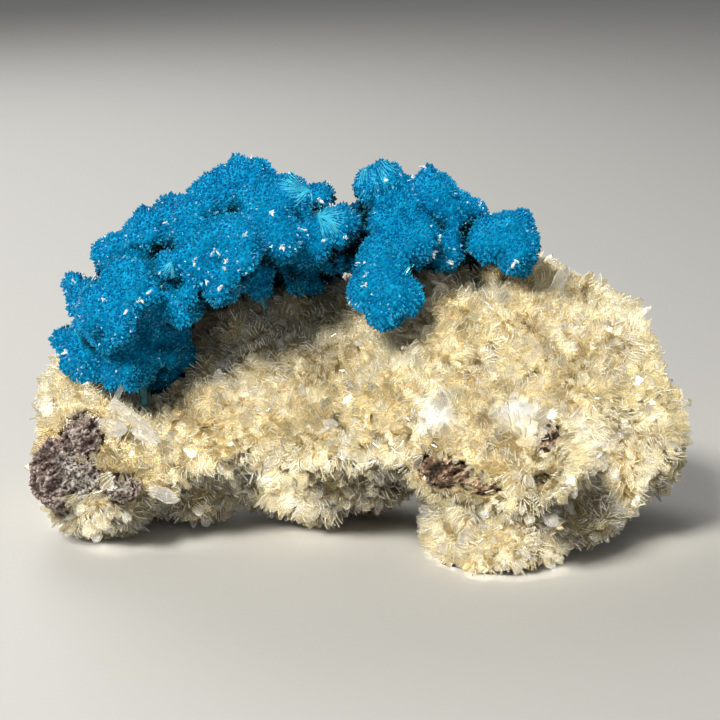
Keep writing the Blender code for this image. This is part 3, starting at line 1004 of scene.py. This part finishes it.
print("each piece sets:", list(GROWTH_INPUTS))

# %% [markdown]
# ## The druse
# One scatter of sheaves covers the whole ground. It comes out as four pieces from left to right,
# because a piece of more than 200,000 triangles is hard to handle. On the real thing the lowest
# blades are worn and pressed under the weight. Cutting them at the floor would leave open meshes
# and clamping them a white skirt, so what would reach through the floor is squeezed into the
# lowest millimetre instead.

# %% The druse
SHEAF_SPACING = 1.03 * MM
ALL_X = (-1.0, 1.0)
DRUSE_PARTS = {
    "druse_left_foot": (ALL_X[0], -27 * MM),
    "druse_middle": (-27 * MM, 0.0),
    "druse_boulder_left": (0.0, 22 * MM),
    "druse_boulder_right": (22 * MM, ALL_X[1]),
}
SQUEEZE_TOP = 1.2 * MM
SQUEEZE_DEPTH = 2.2 * MM
FLOOR_GAP = 0.02 * MM


def keep_above_the_floor(piece):
    """Crystals that would reach through the floor are squeezed into the lowest millimetre."""
    for vert in piece.data.vertices:
        if vert.co.z < SQUEEZE_TOP:
            share = (vert.co.z + SQUEEZE_DEPTH) / (SQUEEZE_TOP + SQUEEZE_DEPTH)
            vert.co.z = max(FLOOR_GAP, SQUEEZE_TOP * share)


druse = [
    grown(
        name, ground, crystals=sheaves, kinds=3, spacing=SHEAF_SPACING, smallest=0.7, largest=1.3,
        lean=1.15, from_x=low, to_x=high, seed=SEED, finish=DRUSE,
    )
    for name, (low, high) in DRUSE_PARTS.items()
]
for piece in druse:
    keep_above_the_floor(piece)

# %% [markdown]
# ## The needles of the rosettes
# Needles crowd all over a rosette and end at one height, which gives it the look of velvet from a
# step away and of sugar up close. The same tree grows them, with a closer spacing than the sheaves. A
# finer spacing would be truer, since the real needles are finer still, but the finest that the
# eye can tell apart at this size is about half a millimetre.

# %% The needles of the rosettes
NEEDLE_SPACING = 0.38 * MM
blue_pieces = {
    name: grown(
        f"{name}_needles", skin, crystals=needles, kinds=2, spacing=NEEDLE_SPACING, smallest=0.7,
        largest=1.3, lean=0.8, from_x=ALL_X[0], to_x=ALL_X[1], seed=SEED, finish=ROSETTE,
    )
    for name, skin in blue_grounds.items()
}

# %% [markdown]
# ## The shape of a clear blade
# Here and there one blade has outgrown its neighbours and stands alone, up to 7 mm long and clear
# as glass. Its sides slope in from a ring round its middle and its broad faces rise to a low
# point, because a plain prism of glass shows no bright rims and a flat face mirrors one even grey.

# %% The shape of a clear blade
SINGLE = [(-0.35, -0.4), (0.35, -0.4), (0.5, 0.55), (0.3, 0.85), (0.02, 1.0), (-0.28, 0.88), (-0.5, 0.6)]
BEVEL = 0.78
ROOF = 0.75
BELLY = 0.3
OFF_CENTRE = 0.1


def bevelled_plate(outline, size):
    """A plate whose sides slope in from its widest ring, and whose two faces rise to a low point."""
    width, length, thick = size
    middle = Vector((0, 0, BELLY * length))
    ring = [Vector((x * width, 0, z * length)) for x, z in outline]
    count = len(ring)
    corners = list(ring)
    faces = []
    for side in (-1, 1):
        start = len(corners)
        shift = Vector((0, side * thick / 2, 0))
        corners += [middle + (corner - middle) * BEVEL + shift for corner in ring]
        corners.append(middle + Vector((OFF_CENTRE * width, side * thick * ROOF, OFF_CENTRE * length)))
        for i in range(count):
            j = (i + 1) % count
            faces += [(i, j, start + j, start + i), (start + i, start + j, start + count)]
    return corners, faces, [1.0, 0.0] * (2 * count)


def standing(place, way, spin):
    """The matrix that stands a crystal on a place, along a way."""
    turn = Vector(way).to_track_quat("Z", "Y").to_matrix() @ Matrix.Rotation(spin, 3, "Z")
    return Matrix.Translation(place) @ turn.to_4x4()


print("faces of a clear blade:", len(bevelled_plate(SINGLE, (1, 1, 1))[1]))

# %% [markdown]
# ## Clear blades
# The largest repeat the solids' own blades: a foot, a way and a size in millimetres for each. The
# rest stand where the picture shows a glint. They are one piece, and each is a closed shell.

# %% Clear blades
BLADES = [
    ((-34.5, -8.5, 20), (0.75, -0.45, -0.45), (7, 3, 0.9)),
    ((-37, -9, 18.5), (0.7, -0.6, 0.1), (5.5, 2.6, 0.9)),
    ((-30, -11, 9), (0.8, -0.5, -0.1), (5, 2.2, 0.8)), ((44.5, -1, 19), (1, -0.1, 0.1), (5.5, 2, 0.8)),
    ((35, -12, 7.5), (0.9, -0.4, -0.1), (5, 2, 0.8)), ((29, -2, 38), (0.4, -0.2, 1), (4, 2, 0.8)),
    ((33, 0, 36), (0.6, 0, 1), (4, 2, 0.8)), ((40, 2, 30), (0.9, -0.3, 0.8), (4.5, 2.2, 0.8)),
    ((12, -2, 36.5), (-0.1, -0.7, 1), (4.5, 2.4, 0.8)), ((-46, -4, 19), (-1, -0.4, 0.6), (4, 2.2, 0.8)),
    ((15, -20, 6), (-0.5, -1, -0.2), (4, 2, 0.8)), ((27, -19, 8.5), (0.3, -1, -0.2), (4.5, 2.2, 0.8)),
    ((-4, -11.5, 20.5), (0.1, -0.9, 0.6), (4.5, 2.2, 0.8)), ((30, 20, 24), (0.3, 1, 0.4), (4.5, 2.2, 0.8)),
    ((-12, 18.5, 27), (-0.2, 1, 0.5), (4.5, 2.2, 0.8)), ((12, 19, 16), (-0.3, 1, 0.1), (4.5, 2.2, 0.8)),
    ((-35.5, -7, 23), (0.4, -0.2, 0.9), (3.6, 1.1, 0.5)),
]
SLIMMER = 0.7
STANDS_OUT = 1.2 * MM
DOWN_THE_PICTURE = (0, 1.5)
GLINT_LEAN = 0.7
GLINT_SIZES = ((1.1, 1.8), (2.2, 3.4), (0.3, 0.5))
GLINTS = [
    (170, 378), (172, 490), (440, 285), (430, 430), (575, 325), (555, 265), (640, 375), (620, 505),
    (545, 515), (326, 408), (333, 424), (341, 436), (320, 432), (256, 432), (385, 402), (540, 420),
    (128, 405), (118, 440), (70, 392), (60, 452), (100, 514), (130, 520), (520, 560), (560, 545),
    (600, 455), (660, 440), (478, 515), (505, 300), (610, 310), (585, 360), (412, 372), (300, 500),
    (420, 428), (500, 420), (538, 402), (552, 416),
    (568, 424), (576, 432), (582, 462), (572, 478), (430, 484), (446, 508), (462, 512), (494, 514),
    (512, 518), (530, 514), (556, 505), (566, 498), (474, 552), (504, 556), (548, 560), (568, 540),
]


def like_the_solid(foot, way):
    """The matrix that lays a plate where a solid's blade lies, with its broad face to its own side."""
    up = Vector(way).normalized()
    face = Vector((0, math.copysign(1, foot[1]), 0.3))
    face = (face - up * face.dot(up)).normalized()
    turn = Matrix((face.cross(up), face, up)).transposed()
    return Matrix.Translation(Vector(foot) * MM + face * STANDS_OUT) @ turn.to_4x4()


def clear_blades(rng):
    """The solids' own blades and the ones that glint in the picture, in one piece."""
    crystals = []
    for foot, way, (length, width, thick) in BLADES:
        size = (width * MM, length * MM, SLIMMER * thick * MM)
        crystals.append((bevelled_plate(SINGLE, size), like_the_solid(foot, way)))
    for place, normal in places_at(GLINTS, skins_of(ground), DOWN_THE_PICTURE):
        way = normal + GLINT_LEAN * any_way(rng)
        size = [rng.uniform(*limits) * MM for limits in GLINT_SIZES]
        crystals.append((bevelled_plate(SINGLE, size), standing(place, way, rng.uniform(0, math.tau))))
    piece = new_piece("clear_blades", crystal_mesh("clear_blades", crystals, 3 * MM))
    piece.data.materials.append(CLEAR)
    keep_above_the_floor(piece)
    print(f"clear blades: {len(crystals)}")
    return piece


blades = clear_blades(rng)

# %% [markdown]
# ## Outgrown blades, all over
# Between the landmarks the druse has many more clear blades, one every few millimetres and the
# most near the floor, where there was open room to grow. A thin scatter by the same tree gives
# them from every side. The room that the ground keeps is written anew for it.

# %% Outgrown blades, all over
SINGLE_SPACING = 1.9 * MM
SINGLE_SHARE = 0.3
LOW_BAND = (5 * MM, 13 * MM)
SINGLE_SIZES = ((1.2 * MM, 2.6 * MM, 0.3 * MM), (1.6 * MM, 2.3 * MM, 0.35 * MM))
singles = crystals_in("singles", [
    crystal_mesh(f"single_{i}", [(bevelled_plate(SINGLE, size), Matrix.Identity(4))], 3 * MM)
    for i, size in enumerate(SINGLE_SIZES)
])
rooms = [
    SINGLE_SHARE + (1 - SINGLE_SHARE) * (1 - smooth_step(vert.co.z, *LOW_BAND)) * (vert.co.z > 0)
    for vert in ground.data.vertices
]
ground.data.attributes["room"].data.foreach_set("value", rooms)
scattered = grown(
    "druse_single_blades", ground, crystals=singles, kinds=1, spacing=SINGLE_SPACING, smallest=0.7,
    largest=1.15, lean=0.9, from_x=ALL_X[0], to_x=ALL_X[1], seed=SEED + 1, finish=CLEAR,
)
keep_above_the_floor(scattered)

# %% [markdown]
# ## The sprays
# Where a rosette stands open, its needles run 2 to 5 mm long and lie over the crust as a fan, with
# lines of light along them. The lines are what the eye picks out, so each is a thin needle of its
# own, laid along the skin from the fan's root. A curve with a round bevel would do as well, but
# three sides are enough for a fifth of a millimetre.

# %% The sprays
FANS = [
    ((304, 193), [(293, 174), (281, 178), (273, 184), (279, 192), (284, 200), (290, 208)]),
    ((323, 218), [(318, 198), (334, 206), (344, 208), (348, 219), (346, 231), (336, 240), (325, 242)]),
    ((304, 193), [(312, 202), (318, 212)]),
    ((370, 158), [(350, 168), (353, 182), (364, 192), (377, 194), (390, 192), (400, 180), (401, 168)]),
    ((484, 196), [(474, 205), (468, 199), (478, 190)]),
    ((408, 262), [(398, 274), (410, 280), (420, 272)]),
    ((172, 262), [(160, 268), (164, 278), (176, 280)]),
]
LINES_BETWEEN = 4
NEEDLE_STEPS = 4
TUBE_SIDES = 3
ROOT_LIFT = 1.3
LIFT_LOST = 0.5
SPRAY_REACHES = (0.75, 1.0)
SPRAY_LIFTS = (0.5, 0.9)
SPRAY_RADII = (0.06, 0.12)


def between(first, second, share):
    """The pixel that lies at a share of the way from one to another."""
    return [a + (b - a) * share for a, b in zip(first, second)]


def laid_needle(start, end, lift, skins):
    """Points of a needle that lies over the skin, from one pixel to another."""
    points = []
    for step in range(NEEDLE_STEPS + 1):
        share = step / NEEDLE_STEPS
        place, normal = seen_at(between(start, end, share), skins)
        if place is not None:
            points.append(place + normal * lift * (ROOT_LIFT - LIFT_LOST * share))
    return points


def needle_tube(points, thick):
    """A three-sided tube along points, thin at both ends."""
    corners = []
    for i, point in enumerate(points):
        before = points[max(0, i - 1)]
        after = points[min(len(points) - 1, i + 1)]
        turn = (after - before).to_track_quat("Z", "Y")
        radius = thick * (0.5 if i in (0, len(points) - 1) else 1.0)
        for side in range(TUBE_SIDES):
            angle = math.tau * side / TUBE_SIDES
            corners.append(point + turn @ Vector((math.cos(angle), math.sin(angle), 0)) * radius)
    faces = [(2, 1, 0), tuple(range(len(corners) - TUBE_SIDES, len(corners)))]
    for i in range(0, len(corners) - TUBE_SIDES, TUBE_SIDES):
        for side in range(TUBE_SIDES):
            after = (side + 1) % TUBE_SIDES
            faces.append((i + side, i + after, i + after + TUBE_SIDES, i + side + TUBE_SIDES))
    return corners, faces, [0.0] * len(faces)


def blue_sprays(rng):
    crystals = []
    for root, tips in FANS:
        for first, second in zip(tips, tips[1:]):
            for line in range(LINES_BETWEEN):
                tip = between(first, second, (line + rng.uniform(0.1, 0.9)) / LINES_BETWEEN)
                tip = between(root, tip, rng.uniform(*SPRAY_REACHES))
                points = laid_needle(root, tip, rng.uniform(*SPRAY_LIFTS) * MM, blue_skins)
                if len(points) > 2:
                    tube = needle_tube(points, rng.uniform(*SPRAY_RADII) * MM)
                    crystals.append((tube, Matrix.Identity(4)))
    piece = new_piece("cavansite_sprays", crystal_mesh("cavansite_sprays", crystals, MM))
    piece.data.materials.append(SPRAY)
    print(f"spray needles: {len(crystals)}")
    return piece


blue_skins = skins_of(*blue_grounds.values())
sprays = blue_sprays(rng)

# %% [markdown]
# ## The prisms under the arch
# A few stout prisms hang from the arch's underside, the longest nearly 5 mm. They are the same
# bevelled plate with a straight outline, set one by one, because there are only four. The pixel
# search goes up until it meets the blue, so that each root is buried in the crust.

# %% The prisms under the arch
PRISMS = [
    ((233, 304), (0.3, -0.1, -1.0), 4.8, 1.3),
    ((143, 384), (0.05, -0.1, -1.0), 3.6, 1.3),
    ((262, 300), (0.3, -0.2, -1.0), 1.8, 0.7),
    ((298, 282), (0.1, -0.2, -1.0), 1.6, 0.7),
]
STRAIGHT = [(0.5, -0.6), (0.5, 1.0), (-0.5, 1.0), (-0.5, -0.6)]
PRISM_THICK = 0.7
PRISM_SPIN = 0.3


def hanging_prisms():
    crystals = []
    for pixel, way, length, width in PRISMS:
        size = (width * MM, length * MM, PRISM_THICK * width * MM)
        place = seen_at(pixel, blue_skins, UP_THE_PICTURE)[0]
        crystals.append((bevelled_plate(STRAIGHT, size), standing(place, way, PRISM_SPIN)))
    piece = new_piece("cavansite_prisms", crystal_mesh("cavansite_prisms", crystals, 3 * MM))
    piece.data.materials.append(PRISM)
    print(f"hanging prisms: {len(crystals)}")
    return piece


prisms = hanging_prisms()

# %% [markdown]
# ## The frost
# White grains of stilbite have settled over all of the blue, mostly in drifts and on the flanks,
# their white partly their own and partly painted glints.
# The growing tree sets them too, with the room of each skin written anew from a slow noise. The
# larger white crystals are little groups of three, where the picture shows them.

# %% The frost
FROST_CELL = 3.5 * MM
FROST_SPACING = 0.75 * MM
DRIFT_EDGE = (0.18, 0.5)
ON_FLANKS = 0.25
ONE_DOWN = (0, 1.0)
WHITES_IN_A_GROUP = 3
WHITE_LEAN = 0.8
WHITE_SPOTS = [
    (254, 159), (326, 181), (333, 204), (320, 200), (270, 213), (244, 236), (225, 270), (206, 280),
    (358, 238), (365, 286), (325, 238), (425, 163), (410, 172), (385, 180), (168, 222), (222, 285),
    (515, 262), (436, 240), (215, 250), (74, 283), (84, 278), (93, 272), (68, 352), (345, 235),
    (432, 252), (448, 262), (400, 175), (362, 262), (368, 275), (352, 300), (300, 230), (284, 246),
    (228, 262), (196, 262), (140, 300), (150, 292), (128, 310), (106, 300),
]


def frost_grains(name, skin):
    """Grains in drifts: where a slow noise is high the skin takes them, elsewhere it doesn't."""
    kept = []
    for vert in skin.data.vertices:
        drift = noise.noise(vert.co / FROST_CELL) - ON_FLANKS * vert.normal.z
        kept.append(smooth_step(drift, *DRIFT_EDGE))
    skin.data.attributes["room"].data.foreach_set("value", kept)
    return grown(
        name, skin, crystals=needles, kinds=2, spacing=FROST_SPACING, smallest=0.35, largest=0.8,
        lean=1.0, from_x=ALL_X[0], to_x=ALL_X[1], seed=SEED + 2, finish=FROST,
    )


def white_crystals(rng):
    """The larger white crystals, where the picture shows them on the blue."""
    crystals = []
    for place, normal in places_at(WHITE_SPOTS, blue_skins, ONE_DOWN):
        for _ in range(WHITES_IN_A_GROUP):
            way = normal + WHITE_LEAN * any_way(rng)
            size = (rng.uniform(0.3, 0.55) * MM, rng.uniform(0.7, 1.1) * MM, 0.2 * MM)
            foot = place + any_way(rng) * 0.2 * MM
            crystals.append((bevelled_plate(SINGLE, size), standing(foot, way, rng.uniform(0, math.tau))))
    piece = new_piece("white_crystals", crystal_mesh("white_crystals", crystals, MM))
    # These take the frost's full white, partly their own and partly a painted glint.
    write_values(piece.data, "grain", [1.0] * len(piece.data.vertices))
    piece.data.materials.append(FROST)
    print(f"white crystals: {len(crystals)}")
    return piece


frost = [frost_grains(f"frost_on_{name}", skin) for name, skin in blue_grounds.items()]
whites = white_crystals(rng)

# %% [markdown]
# ## The rock
# The rock broke along ridges that run up to the right on its open face. Ridged noise, drawn out
# along that way, lifts them from the solid's own lumps. A bump map would leave the rock's outline
# smooth. How far each corner was lifted is kept as a value, so that the colour knows the pits from
# the ridges: the pits get painted shade and the crests are paler, partly painted highlight. The
# dust on the spots that the picture shows pale is kept as a value too.

# %% The rock
ROCK_GRID = 0.25 * MM
RIDGE_HIGH = 1.0 * MM
RIDGE_ALONG = 4.0 * MM
RIDGE_ACROSS = 1.5 * MM
# How fast the finer swells fade, how much finer each is, how many there are, offset and gain.
RIDGE_NOISE = (0.9, 2.2, 5, 1.0, 2.0)
RIDGE_RANGE = (0.65, 2.0)
RIDGE_LEVEL = 0.7
RIDGE_TURN = Matrix.Rotation(math.radians(-35), 3, "Y")
DUSTY = [((92, 500), 3.0), ((78, 482), 2.0), ((112, 486), 2.0), ((70, 460), 1.6), ((474, 465), 1.0)]


def ridge_at(place):
    """How much of a ridge the rock has at a place: 0 in a pit and 1 on a crest."""
    along = RIDGE_TURN.transposed() @ place
    along = Vector((along.x / RIDGE_ALONG, along.y / RIDGE_ACROSS, along.z / RIDGE_ACROSS))
    return smooth_step(noise.ridged_multi_fractal(along, *RIDGE_NOISE), *RIDGE_RANGE)


def rough_rock(name):
    """The solid's own lumps, broken into ridges and pits."""
    piece = even_skin(piece_of(f"{name}_rock", merged_bmesh(name)), ROCK_GRID, 2)
    dusty = spots_at(DUSTY, skins_of(piece))
    corners = piece.data.vertices
    ridges = [ridge_at(vert.co) for vert in corners]
    dust = [min(1.0, nearness(vert.co, dusty)) for vert in corners]
    moved = [
        vert.co + vert.normal * RIDGE_HIGH * (ridge - RIDGE_LEVEL) for vert, ridge in zip(corners, ridges)
    ]
    for vert, place in zip(corners, moved):
        vert.co = place
        vert.co.z = max(vert.co.z, FLOOR_GAP)
    write_values(piece.data, "ridge", ridges)
    write_values(piece.data, "dusty", dust)
    piece.data.materials.append(ROCK)
    print(f"{piece.name}: {len(piece.data.polygons)} faces, mean ridge {sum(ridges) / len(ridges):.2f}")
    return piece


rocks = {name: rough_rock(name) for name in ROCKS}

# %% [markdown]
# ## The floor and the light
# The specimen stands on a plain pale floor, which ends out of sight. The key lamp is small and
# high at the left, because glints and the edges of blades need one clear direction. A wide weak
# lamp fills the right side, one from behind lights the rim of clear tips, and a dim pale sky does
# the rest. Light crosses many thin blades, so a ray may pass eight faces before it is given up.

# %% The floor and the light
FLOOR_HALF = 1.5
SKY_STRENGTH = 0.18
LAMPS = (
    ("key", (-0.27, -0.2, 0.48), 0.14, 3.2, "#FFFDF6"),
    ("fill", (0.45, -0.4, 0.25), 0.4, 0.25, "#F2F6FF"),
    ("rim", (-0.2, 0.38, 0.36), 0.3, 1.2, "#FFFFFF"),
)
FACES_CROSSED = 8


def pale_floor():
    bm = bmesh.new()
    bmesh.ops.create_grid(bm, x_segments=1, y_segments=1, size=FLOOR_HALF)
    made = piece_of("floor", bm)
    finish, _, shader, _ = new_finish("pale_floor")
    shader.inputs["Base Color"].default_value = tone("#C9C7C3")
    shader.inputs["Roughness"].default_value = 0.7
    made.data.materials.append(finish)
    return made


def soft_light(name, place, size, watts, colour):
    """A square lamp that looks at the specimen's middle."""
    lamp = bpy.data.lights.new(name, "AREA")
    lamp.size = size
    lamp.energy = watts
    lamp.color = tone(colour)[:3]
    made = bpy.data.objects.new(name, lamp)
    made.location = place
    made.rotation_euler = (Vector(place) - AIM).to_track_quat("Z", "Y").to_euler()
    bpy.context.scene.collection.objects.link(made)


def pale_surroundings():
    world = bpy.data.worlds.new("studio")
    world.use_nodes = True
    world.node_tree.nodes["Background"].inputs[0].default_value = tone("#E8ECF0")
    world.node_tree.nodes["Background"].inputs[1].default_value = SKY_STRENGTH
    bpy.context.scene.world = world


pale_floor()
for lamp in LAMPS:
    soft_light(*lamp)
pale_surroundings()
bpy.context.scene.view_settings.view_transform = "Standard"
bpy.context.scene.cycles.transmission_bounces = FACES_CROSSED
print("lamps:", [lamp[0] for lamp in LAMPS])

# %% [markdown]
# ## Light through the crystals
# Glass throws a grey shadow in a renderer, unless it traces caustics, which take very long. Real
# blades pass the light on to the roots under them. So the crystals cast no shadow of their own,
# apart from the dark prisms, while the skins that they stand on and the rock do. That lights the
# druse from inside, as on the real thing, and the large shadows stay. The single crystals that
# were instanced aren't needed any more.

# %% Light through the crystals
ground.data.materials.append(ROOTS)
for skin in blue_grounds.values():
    skin.data.materials.append(HEART)
see_through = (*druse, scattered, blades, *blue_pieces.values(), sprays, whites, *frost)
for piece in see_through:
    piece.visible_shadow = False
for kind in (sheaves, needles, singles):
    for thing in list(kind.objects):
        bpy.data.objects.remove(thing)
    bpy.data.collections.remove(kind)
print("pieces that cast no shadow:", len(see_through))

# %% [markdown]
# ## Handing over
# The specimen is one body, so every piece rides on its root. The druse, the rosettes and the rocks
# take the place of their solids. Sprays, prisms and frost are extra growth on the blue, and
# replace nothing.

# %% Handing over
for piece in (ground, *druse, scattered, blades):
    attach(piece, "root")
    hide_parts("stilbite_matrix")
for piece in (*frost, whites):
    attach(piece, "root")
for piece in (sprays, prisms):
    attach(piece, "root")
for name in BLUES:
    for piece in (blue_grounds[name], blue_pieces[name]):
        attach(piece, "root")
        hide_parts(name)
for name, piece in rocks.items():
    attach(piece, "root")
    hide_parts(name)
